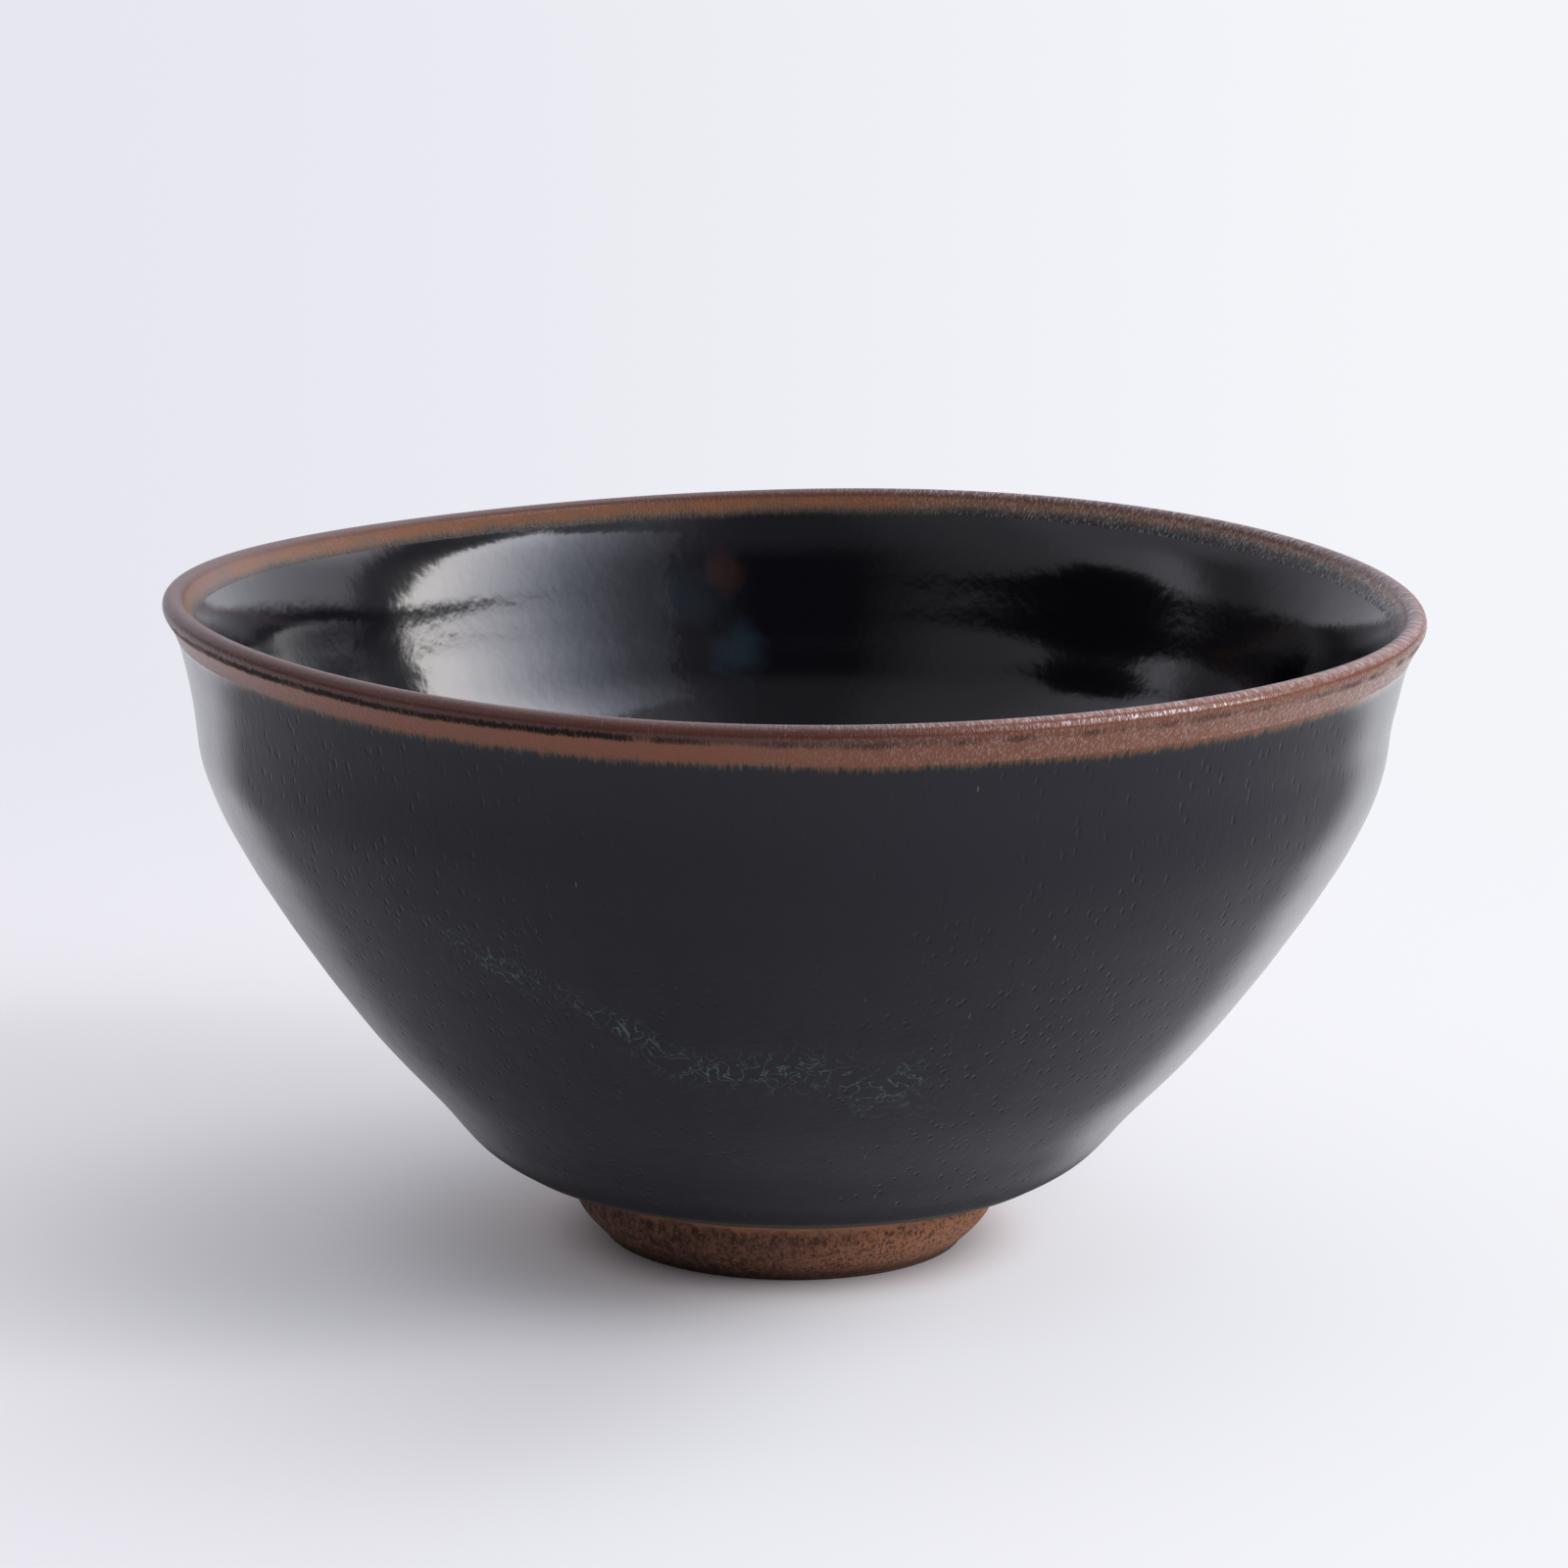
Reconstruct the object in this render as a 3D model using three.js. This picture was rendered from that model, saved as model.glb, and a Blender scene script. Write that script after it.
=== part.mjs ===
// Tenmoku tea bowl: a thrown and turned stoneware body under three zones of fired glaze.
// Millimetres, +Z up, origin in the middle of the plane that the foot rests on.
import * as THREE from 'three';

// Overall sizes, measured over the glaze
const bowlHeight = 65.6; // resting plane to the crest of the lip, before its hand-thrown wave
const lipRadius = 62.5; // outermost edge of the lip
const lipThickness = 2.2; // across the lip, which is rounded over as a half circle
const lipLean = 25; // degrees by which the wall leans out where the lip begins

// Wall and floor, measured over the glaze
const neckWall = 3.1; // at the neck under the lip, where the wall stands most upright
const bellyWall = 4.4; // at the widest turn of the side
const lowerWall = 6; // where the wall turns into the underside
const floorHeight = 10.4; // resting plane to the middle of the well

// Foot ring, cut from the same clay as the wall
const footRadius = 21.5; // at its root, under the bowl
const footTaper = 3.3; // by which it draws in at the resting face
const footSideHeight = 5.2; // resting plane to the start of the root fillet
const rootFillet = 1.5; // hollow curve between the foot and the underside
const restingWidth = 4.2; // flat ring that the bowl stands on
const recessDepth = 4; // hollow inside the foot ring
const recessTaper = 0.9; // by which the hollow narrows towards its ceiling
const recessCorner = 1.2; // hollow curve at its ceiling

// Glaze
const outsideCoat = 0.7; // satin black coat on the wall
const edgeCoat = 0.3; // where that coat ends above the foot
const rollThickness = 1.8; // thick roll in which the running glaze stopped
const rollHeight = 7.3; // from the edge of the glaze to the top of the roll
const insideCoat = 0.8; // glossy black coat inside
const poolThickness = 1.8; // the same coat where it gathered in the well
const poolRadius = 26; // where that pool has thinned out to the coat
const lipCoat = 0.4; // thin brown coat, where the glaze drew away from the lip
const lipBandInside = 2.4; // height of the brown zone below the crest, inside
const lipBandOutside = 3.9; // the same, outside

// The uneven hand-thrown rim: its rises in millimetres, their turns in degrees from +X
const rimTilt = 0.6;
const rimTiltTurn = -33;
const rimSag = 0.5;
const rimSagTurn = 37;
const rimRipple = 0.4;
const rimRippleTurn = -48;

// Outside of the glazed wall from the glaze's lower edge to just under the lip:
// shares of the lip radius and of the bowl height
const wallShares = [
  [0.445, 0.126],
  [0.506, 0.165],
  [0.573, 0.238],
  [0.676, 0.346],
  [0.79, 0.491],
  [0.887, 0.637],
  [0.937, 0.744],
  [0.953, 0.84],
  [0.974, 0.929],
];
const neckShare = 0.855; // height of the neck, a share of the bowl height
const bellyShare = 0.723; // height of the belly, a share of the bowl height
const lowerShare = 0.238; // height at which the wall is thickest, a share of the bowl height
const rollEdgeShare = 0.25; // share of the roll's height in which its edge rounds over

// The well inside, from the wall's foot to the middle:
// shares of the radius where the wall ends and of that place's rise above the floor
const wellShares = [
  [0.66, 0.36],
  [0.32, 0.07],
  [0, 0],
];

// Facets
const turnSegments = 48;
const rowsPerSpan = 2;
const lipRows = 6;
const bandRows = 2;
const filletRows = 3;
const footSideRows = 3;

const degrees = THREE.MathUtils.degToRad;
const smooth = THREE.MathUtils.smoothstep;
const mix = THREE.MathUtils.lerp;

function point(radius, height) {
  return new THREE.Vector2(radius, height);
}

function onCircle(centre, radius, angle) {
  return point(centre.x + radius * Math.cos(angle), centre.y + radius * Math.sin(angle));
}

// Every outline here keeps the open air on its right hand
function outwardOf(tangent) {
  return point(tangent.y, -tangent.x);
}

// A ring of the bowl: its place on the glaze, and the place on the clay right under it
function ring(glaze, outward, coat) {
  return { glaze, clay: glaze.clone().addScaledVector(outward, -coat) };
}

function curveRings(curve, start, end, rows, coatAt) {
  const rings = [];
  for (let row = 0; row <= rows; row += 1) {
    const along = mix(start, end, row / rows);
    const glaze = curve.getPoint(along);
    const onAxis = glaze.x === 0;
    const outward = onAxis ? point(0, 1) : outwardOf(curve.getTangent(along));
    rings.push(ring(glaze, outward, coatAt(glaze)));
  }
  return rings;
}

// The place along a rising or falling curve where it passes a height, found by halving
function placeAtHeight(curve, height) {
  const rises = curve.points.at(-1).y > curve.points[0].y;
  let [before, past] = [0, 1];
  for (let halving = 0; halving < 40; halving += 1) {
    const middle = (before + past) / 2;
    const isBelow = curve.getPoint(middle).y < height;
    if (isBelow === rises) before = middle;
    else past = middle;
  }
  return past;
}

const neckHeight = neckShare * bowlHeight;
const bellyHeight = bellyShare * bowlHeight;
const lowerHeight = lowerShare * bowlHeight;
const insideBandEnd = bowlHeight - lipBandInside;
const outsideBandEnd = bowlHeight - lipBandOutside;

// Lip: a half circle whose ends face the way that the wall leans
const lipRound = lipThickness / 2;
const lipCentre = point(lipRadius - lipRound, bowlHeight - lipRound);
const lipOutside = onCircle(lipCentre, lipRound, degrees(-lipLean));
const lipInside = onCircle(lipCentre, lipRound, degrees(180 - lipLean));

// Wall: the inside follows the outside at the wall's thickness, then runs into the well
const wallPoints = wallShares.map(([radius, height]) => point(radius * lipRadius, height * bowlHeight));
const glazeEdge = wallPoints[0];
const outsideCurve = new THREE.SplineCurve([...wallPoints, lipOutside]);

function wallThickness(height) {
  const belly = mix(lowerWall, bellyWall, smooth(height, lowerHeight, bellyHeight));
  const neck = mix(belly, neckWall, smooth(height, bellyHeight, neckHeight));
  return mix(neck, lipThickness, smooth(height, neckHeight, bowlHeight));
}

function insidePoints() {
  const spans = wallPoints.length;
  const points = [lipInside];
  for (let station = spans - 1; wallPoints[station].y >= lowerHeight; station -= 1) {
    const outside = wallPoints[station];
    const outward = outwardOf(outsideCurve.getTangent(station / spans));
    points.push(outside.clone().addScaledVector(outward, -wallThickness(outside.y)));
  }
  const wallEnd = points.at(-1);
  for (const [radius, rise] of wellShares) {
    points.push(point(radius * wallEnd.x, mix(floorHeight, wallEnd.y, rise)));
  }
  return points;
}

const insideCurve = new THREE.SplineCurve(insidePoints());

// Coats of glaze along the outline
function outsideCoatAt({ y }) {
  const share = THREE.MathUtils.clamp((y - glazeEdge.y) / rollHeight, 0, 1);
  const swell = Math.sin(Math.PI * Math.sqrt(share));
  const coat = mix(edgeCoat, outsideCoat, smooth(share, 0, rollEdgeShare));
  const drawn = mix(coat, lipCoat, smooth(y, bellyHeight, lipOutside.y));
  return drawn + (rollThickness - outsideCoat) * swell;
}

function insideCoatAt({ x, y }) {
  const pooled = mix(poolThickness, insideCoat, smooth(x, 0, poolRadius));
  return mix(pooled, lipCoat, smooth(y, insideBandEnd, lipInside.y));
}

function lipRings() {
  const rings = [];
  for (let row = 1; row < lipRows; row += 1) {
    const angle = mix(degrees(-lipLean), degrees(180 - lipLean), row / lipRows);
    rings.push(ring(onCircle(lipCentre, lipRound, angle), onCircle(point(0, 0), 1, angle), lipCoat));
  }
  return rings;
}

// Zones of glaze: black outside, brown over the lip and a little way down, black inside
const outsideEnd = placeAtHeight(outsideCurve, outsideBandEnd);
const insideStart = placeAtHeight(insideCurve, insideBandEnd);
const outsideRows = wallPoints.length * rowsPerSpan;
const insideRows = (insideCurve.points.length - 1) * rowsPerSpan;
const outsideRings = curveRings(outsideCurve, 0, outsideEnd, outsideRows - bandRows, outsideCoatAt);
const insideRings = curveRings(insideCurve, insideStart, 1, insideRows - bandRows, insideCoatAt);
const brownRings = [
  ...curveRings(outsideCurve, outsideEnd, 1, bandRows, outsideCoatAt),
  ...lipRings(),
  ...curveRings(insideCurve, 0, insideStart, bandRows, insideCoatAt),
];

// Hollow in the foot, resting face, tapered side, root fillet, then straight to the glaze's edge
function footOutline() {
  const restingRadius = footRadius - footTaper;
  const recessRadius = restingRadius - restingWidth;
  const outline = [point(0, recessDepth)];
  const cornerCentre = point(recessRadius - recessTaper - recessCorner, recessDepth - recessCorner);
  for (let row = 0; row <= filletRows; row += 1) {
    outline.push(onCircle(cornerCentre, recessCorner, degrees(mix(90, 0, row / filletRows))));
  }
  outline.push(point(recessRadius, 0));
  for (let row = 0; row <= footSideRows; row += 1) {
    const share = row / footSideRows;
    const swell = Math.sin(degrees(90 * share));
    outline.push(point(restingRadius + footTaper * swell, footSideHeight * share));
  }
  // The fillet sweeps until its direction points at the clay under the glaze's edge
  const filletCentre = point(footRadius + rootFillet, footSideHeight);
  const underside = outsideRings[0].clay.clone().sub(filletCentre);
  const sweepEnd = underside.angle() + Math.acos(rootFillet / underside.length());
  for (let row = 1; row <= filletRows; row += 1) {
    outline.push(onCircle(filletCentre, rootFillet, mix(Math.PI, sweepEnd, row / filletRows)));
  }
  return outline;
}

// The rim's wave, which dies away down to the thickest part of the wall
function rimWave(turn) {
  return rimTilt * Math.cos(turn - degrees(rimTiltTurn))
    + rimSag * Math.cos(2 * (turn - degrees(rimSagTurn)))
    + rimRipple * Math.cos(3 * (turn - degrees(rimRippleTurn)));
}

function waveShare(height) {
  return Math.max(0, (height - lowerHeight) / (bowlHeight - lowerHeight)) ** 2;
}

// Turn a closed outline about +Z. LatheGeometry splits each facet along the direction of the
// outline; splitting it by height instead lets two pieces that share a surface meet exactly.
function turnedGeometry(outline) {
  const geometry = new THREE.LatheGeometry(outline, turnSegments);
  const triangles = [];
  for (let segment = 0; segment < turnSegments; segment += 1) {
    for (let row = 0; row < outline.length - 1; row += 1) {
      const here = segment * outline.length + row;
      const beside = here + outline.length;
      const falls = outline[row + 1].y < outline[row].y;
      if (falls) triangles.push(here, beside, beside + 1, here, beside + 1, here + 1);
      else triangles.push(here, beside, here + 1, beside + 1, here + 1, beside);
    }
  }
  geometry.setIndex(triangles);
  geometry.rotateX(Math.PI / 2);

  const place = geometry.getAttribute('position');
  for (let vertex = 0; vertex < place.count; vertex += 1) {
    const turn = Math.atan2(place.getY(vertex), place.getX(vertex));
    const height = place.getZ(vertex);
    place.setZ(vertex, height + rimWave(turn) * waveShare(height));
  }
  geometry.computeVertexNormals();
  return geometry;
}

function turnedPiece(name, outline, color, roughness) {
  const material = new THREE.MeshStandardMaterial({ color, roughness, metalness: 0 });
  const mesh = new THREE.Mesh(turnedGeometry(outline), material);
  mesh.name = name;
  return mesh;
}

function airSide(rings) {
  return rings.map(({ glaze }) => glaze);
}

function claySide(rings) {
  return rings.map(({ clay }) => clay);
}

// A coat has one face in the air and one on the clay, and its outline closes on itself
function coatOutline(rings) {
  return [...airSide(rings), ...claySide(rings).reverse(), rings[0].glaze];
}

// The coat inside reaches the axis, so its outline starts and ends there
function wellCoatOutline(rings) {
  return [...claySide(rings).reverse(), ...airSide(rings)];
}

function clayBody() {
  const covered = [...outsideRings, ...brownRings.slice(1), ...insideRings.slice(1)];
  return turnedPiece('clay_body', [...footOutline(), ...claySide(covered)], 0x694430, 0.85);
}

function outsideGlaze() {
  return turnedPiece('outside_glaze', coatOutline(outsideRings), 0x26262b, 0.35);
}

function insideGlaze() {
  return turnedPiece('inside_glaze', wellCoatOutline(insideRings), 0x0c0c10, 0.08);
}

function lipGlaze() {
  return turnedPiece('lip_glaze', coatOutline(brownRings), 0x6b4236, 0.4);
}

const bowl = new THREE.Group();
bowl.add(clayBody(), outsideGlaze(), insideGlaze(), lipGlaze());

export default bowl;
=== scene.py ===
"""Tenmoku tea bowl: thrown stoneware under three zones of fired glaze, on a pale studio floor."""
from collections import namedtuple
from math import acos, atan2, cos, floor, pi, radians, sin, sqrt, tan

import bpy
import numpy as np
from bpy.props import FloatProperty, FloatVectorProperty, IntProperty, PointerProperty
from mathutils import Matrix, Vector


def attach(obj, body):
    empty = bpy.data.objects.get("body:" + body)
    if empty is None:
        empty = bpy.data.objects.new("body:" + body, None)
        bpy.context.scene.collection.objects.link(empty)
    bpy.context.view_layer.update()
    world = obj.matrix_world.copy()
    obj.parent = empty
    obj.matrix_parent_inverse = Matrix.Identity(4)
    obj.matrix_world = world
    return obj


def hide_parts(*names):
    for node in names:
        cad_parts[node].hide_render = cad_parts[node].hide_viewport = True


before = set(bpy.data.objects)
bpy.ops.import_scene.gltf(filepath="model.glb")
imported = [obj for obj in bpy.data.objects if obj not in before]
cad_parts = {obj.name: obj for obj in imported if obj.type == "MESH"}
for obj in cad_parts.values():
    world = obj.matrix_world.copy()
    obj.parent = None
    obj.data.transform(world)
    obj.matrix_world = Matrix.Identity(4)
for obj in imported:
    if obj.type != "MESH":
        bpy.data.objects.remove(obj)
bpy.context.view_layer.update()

bl_info = {
    "name": "Tenmoku Tea Bowl",
    "version": (1, 0, 0),
    "blender": (4, 5, 0),
    "location": "3D View > Sidebar > Tea Bowl",
    "description": "Throws, glazes and lights a tenmoku tea bowl",
    "category": "Add Mesh",
}

MM = 0.001
ROOT = "root"


def length(name, millimetres, description):
    """A size that a user may change, given in millimetres and kept in metres."""
    return FloatProperty(name=name, description=description, default=millimetres * MM,
                         precision=5, subtype="DISTANCE", unit="LENGTH")


def angle(name, turn, description):
    """An angle that a user may change, given in degrees."""
    return FloatProperty(name=name, description=description, default=radians(turn),
                         subtype="ANGLE", unit="ROTATION")


def factor(name, default, description, most=1.0):
    """A plain number that a user may change."""
    return FloatProperty(name=name, description=description, default=default, min=0.0, max=most,
                         precision=3, subtype="FACTOR")


def colour(name, default, description):
    """A colour that a user may change, in linear light."""
    return FloatVectorProperty(name=name, description=description, default=default, size=3,
                               min=0.0, max=1.0, precision=4, subtype="COLOR")


class BowlShape(bpy.types.PropertyGroup):
    """The sizes of the bowl, measured over the glaze."""
    bowl_height: length("Height", 65.6, "Resting plane to the crest of the lip, before its wave")
    lip_radius: length("Lip radius", 62.5, "Outermost edge of the lip")
    lip_thickness: length("Lip thickness", 2.2, "Across the half-round lip")
    lip_lean: angle("Lip lean", 25, "How far the wall leans out where the lip begins")
    neck_wall: length("Neck wall", 3.1, "Wall at the neck under the lip")
    belly_wall: length("Belly wall", 4.4, "Wall at the belly")
    lower_wall: length("Lower wall", 6, "Wall where it turns into the underside")
    floor_height: length("Floor height", 10.4, "Resting plane to the middle of the well")
    foot_radius: length("Foot radius", 21.5, "Foot ring at its root")
    foot_taper: length("Foot taper", 3.3, "How far the foot draws in at the resting face")
    foot_side: length("Foot side", 5.2, "Resting plane to the start of the root fillet")
    root_fillet: length("Root fillet", 1.5, "Hollow curve between the foot and the underside")
    resting_width: length("Resting width", 4.2, "Flat ring that the bowl stands on")
    resting_round: length("Resting edge", 0.35, "Rounding of the two edges of the resting ring")
    recess_depth: length("Recess depth", 4, "Hollow inside the foot ring")
    recess_taper: length("Recess taper", 0.9, "How far the hollow narrows towards its ceiling")
    recess_corner: length("Recess corner", 1.2, "Hollow curve at its ceiling")
    outside_coat: length("Outside coat", 0.7, "Satin black glaze on the wall")
    edge_coat: length("Edge coat", 0.3, "The same glaze where it ends above the foot")
    roll_thickness: length("Roll thickness", 1.8, "Thick roll in which the running glaze stopped")
    roll_height: length("Roll height", 7.3, "From the edge of the glaze to the top of the roll")
    inside_coat: length("Inside coat", 0.8, "Glossy black glaze inside")
    pool_thickness: length("Pool thickness", 1.8, "The same glaze where it gathered in the well")
    pool_radius: length("Pool radius", 26, "Where that pool has thinned out to the coat")
    lip_coat: length("Lip coat", 0.4, "Thin brown glaze over the lip")
    band_inside: length("Band inside", 2.3, "Height of the brown zone below the crest, inside")
    band_outside: length("Band outside", 3.9, "Height of the brown zone below the crest, outside")
    inside_swell: length("Inside swell", 0.5, "How far the inside glaze gathered under the lip")
    unevenness: length("Unevenness", 0.10, "How far the thrown wall strays from round")
    throwing_rings: length("Throwing rings", 0.02, "Height of the spiral that the fingers left")
    edge_creep: length("Edge creep", 0.5, "How far the lower edge of the glaze creeps up unevenly")
    edge_reach: length("Edge reach", 2.5, "Width in which that edge settles back")
    rim_tilt: length("Rim tilt", 0.6, "Rise of the rim on one side")
    rim_tilt_turn: angle("Rim tilt turn", -33, "Where that side is, from +X")
    rim_sag: length("Rim sag", 0.5, "Rise of the rim on two opposite sides")
    rim_sag_turn: angle("Rim sag turn", 37, "Where those sides are, from +X")
    rim_ripple: length("Rim ripple", 0.4, "Rise of the rim in three places")
    rim_ripple_turn: angle("Rim ripple turn", -48, "Where one of those places is, from +X")
    turn_steps: IntProperty(name="Turn steps", description="Facets round the bowl", default=256,
                            min=48)
    rows_per_span: IntProperty(name="Rows per span", description="Facets along each stretch of wall",
                               default=8, min=2)


class GlazeLook(bpy.types.PropertyGroup):
    """Colours and gloss of the glazes, in linear light."""
    black_outside: colour("Satin black", (0.0045, 0.0040, 0.0100), "Outside glaze")
    # Painted sheen: the satin black is lightened to this grey high on the right, on the window's
    # side.
    painted_sheen_grey: colour("Satin grey", (0.0140, 0.0130, 0.0185), "The same glaze high on the right")
    black_inside: colour("Glossy black", (0.0016, 0.0014, 0.0030), "Inside glaze")
    # Rust is also used as painted light on the right side of the bead.
    rust: colour("Rust", (0.178, 0.058, 0.028), "Where the glaze is thin below the lip")
    amber: colour("Amber", (0.155, 0.056, 0.019), "The same thin glaze inside the lip")
    bead_brown: colour("Bead brown", (0.075, 0.028, 0.020), "Over the crest of the lip")
    olive: colour("Olive", (0.075, 0.052, 0.030), "Where the rust runs out into the black")
    # Its black is partly pooled glaze and partly painted shade of a groove under the crest, which the
    # lip's shape lacks.
    pooled: colour("Pooled black", (0.0060, 0.0032, 0.0022), "Broken line of glaze under the crest")
    bloom: colour("Bloom", (0.048, 0.085, 0.084), "Faint threads of blue-green on the outside")
    fleck: colour("Fleck", (0.16, 0.15, 0.13), "Few light scratch-like marks on the outside")
    teal: colour("Teal", (0.035, 0.070, 0.095), "Cool tinge in the black inside")
    satin_shine: factor("Satin shine", 0.22, "How strongly the outside glaze mirrors")
    satin: factor("Satin roughness", 0.36, "Roughness of the outside glaze")
    gloss: factor("Gloss roughness", 0.12, "Roughness of the inside glaze")
    lip_satin: factor("Lip roughness", 0.26, "Roughness of the brown glaze")


class ClayLook(bpy.types.PropertyGroup):
    """Colours of the bare clay, in linear light."""
    brown: colour("Clay brown", (0.178, 0.084, 0.052), "Fired clay")
    # Pale is used for real flecks, and also as painted light on the right side and on the strip under
    # the glaze.
    pale: colour("Clay pale", (0.32, 0.140, 0.072), "Flecks and the strip under the glaze")
    dark: colour("Clay dark", (0.045, 0.022, 0.016), "Burnt patches and the lower edge")


class StageLook(bpy.types.PropertyGroup):
    """Floor, lights and camera."""
    floor_colour: colour("Floor", (0.70, 0.69, 0.67), "Pale matt floor")
    camera_rise: angle("Camera rise", 12.8, "Height of the camera above the horizon")
    camera_roll: angle("Camera roll", 1.0, "How far the camera is turned about its own axis")
    camera_distance: length("Camera distance", 596.6, "From the camera to the place it aims at")
    camera_lens: FloatProperty(name="Lens", description="Focal length on a 36 mm wide sensor",
                               default=136.9, min=1.0, unit="CAMERA")
    aim: FloatVectorProperty(name="Aim", description="The place that the camera aims at", size=3,
                             default=(-0.75 * MM, 0.0, 46.2 * MM), subtype="TRANSLATION",
                             unit="LENGTH")
    # Far right is the lighter of the two: painted light from the window's side.
    far_left: colour("Far left", (0.80, 0.80, 0.87), "The floor far behind, on the left")
    far_right: colour("Far right", (0.905, 0.915, 0.955), "The floor far behind, on the right")
    window: factor("Window", 11.5, "Brightness of the tall window on the right", 100.0)
    window_turn: angle("Window turn", -29.6, "Where the middle of the window is, from +X")
    ceiling: factor("Ceiling", 0.5, "Brightness of the soft panel overhead", 100.0)
    dimness: factor("Dimness", 0.03, "Brightness of the room between the pale cards")


class TeaBowl(bpy.types.PropertyGroup):
    """All settings of the tea bowl."""
    shape: PointerProperty(type=BowlShape)
    glaze: PointerProperty(type=GlazeLook)
    clay: PointerProperty(type=ClayLook)
    stage: PointerProperty(type=StageLook)


# Outlines, as points of (radius, height)

WALL_SHARES = (
    (0.445, 0.126), (0.506, 0.165), (0.573, 0.238), (0.676, 0.346), (0.79, 0.491),
    (0.887, 0.637), (0.937, 0.744), (0.953, 0.84), (0.974, 0.929),
)
WELL_SHARES = ((0.66, 0.36), (0.32, 0.07), (0.0, 0.0))
NECK_SHARE = 0.855
BELLY_SHARE = 0.723
LOWER_SHARE = 0.238
ROLL_EDGE_SHARE = 0.25
# Where the inside glaze stands out of its even coat, as points of (swell, height)
SWELL_SHARES = (
    (0.0, 0.46), (-0.66, 0.58), (-1.08, 0.656), (-0.78, 0.701), (-0.16, 0.747), (0.46, 0.808),
    (0.68, 0.831), (0.91, 0.854), (0.98, 0.869), (0.96, 0.884), (0.82, 0.907), (0.54, 0.93),
    (0.0, 0.963),
)
LIP_ROWS = 26
BAND_ROWS = 12
FOOT_ROWS = 10
HIDDEN_ROW_STEP = 4
SLOPE_STEP = 0.0001
HALVINGS = 40
MERGE_REACH = 0.002 * MM
SMOOTHED_UP_TO = radians(35)

# Waves round the bowl: how many, twist per millimetre of height, start, share
UNEVEN_WAVES = (
    (2, 0.0, 0.9, 0.40), (3, 0.035, 2.3, 0.30), (5, -0.06, 4.1, 0.18), (9, 0.11, 0.7, 0.12))
EDGE_WAVES = ((3, 0.0, 0.4, 0.35), (7, 0.0, 2.6, 0.30), (16, 0.0, 1.1, 0.20), (37, 0.0, 5.0, 0.15))
THROWING_PITCH = 5.2 * MM

Ring = namedtuple("Ring", "glaze clay")


def mix(first, second, share):
    return first + (second - first) * share


def smooth(value, low, high):
    share = min(max((value - low) / (high - low), 0.0), 1.0)
    return share * share * (3.0 - 2.0 * share)


def point(radius, height):
    return Vector((radius, height))


def on_circle(centre, radius, turn):
    return centre + radius * point(cos(turn), sin(turn))


def arc(centre, radius, start, end, rows):
    """Points round a centre from one turn to another, both ends included."""
    return [on_circle(centre, radius, mix(start, end, row / rows)) for row in range(rows + 1)]


def outward_of(direction):
    """Every outline has the open air on its right hand."""
    return point(direction.y, -direction.x)


class SmoothCurve:
    """A curve that passes evenly through all its points; along runs from 0 to 1."""

    def __init__(self, points):
        self.points = points

    def place(self, along):
        last = len(self.points) - 1
        station = min(int(floor(along * last)), last)
        share = along * last - station
        before, start, end, after = (
            self.points[min(max(station + step, 0), last)] for step in (-1, 0, 1, 2))
        leave, arrive = (end - before) / 2, (after - start) / 2
        return ((2 * start - 2 * end + leave + arrive) * share ** 3
                + (-3 * start + 3 * end - 2 * leave - arrive) * share ** 2 + leave * share + start)

    def direction(self, along):
        start, end = max(along - SLOPE_STEP, 0.0), min(along + SLOPE_STEP, 1.0)
        return (self.place(end) - self.place(start)).normalized()

    def along_at(self, height):
        """Where the curve passes a height, found by halving."""
        rises = self.points[-1].y > self.points[0].y
        low, high = 0.0, 1.0
        for _ in range(HALVINGS):
            middle = (low + high) / 2
            if (self.place(middle).y < height) == rises:
                low = middle
            else:
                high = middle
        return high

    def rings(self, start, end, rows, coat_at):
        made = []
        for row in range(rows + 1):
            along = mix(start, end, row / rows)
            glaze = self.place(along)
            outward = outward_of(self.direction(along)) if glaze.x > 0 else point(0, 1)
            made.append(Ring(glaze, glaze - outward * coat_at(glaze)))
        return made


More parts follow.
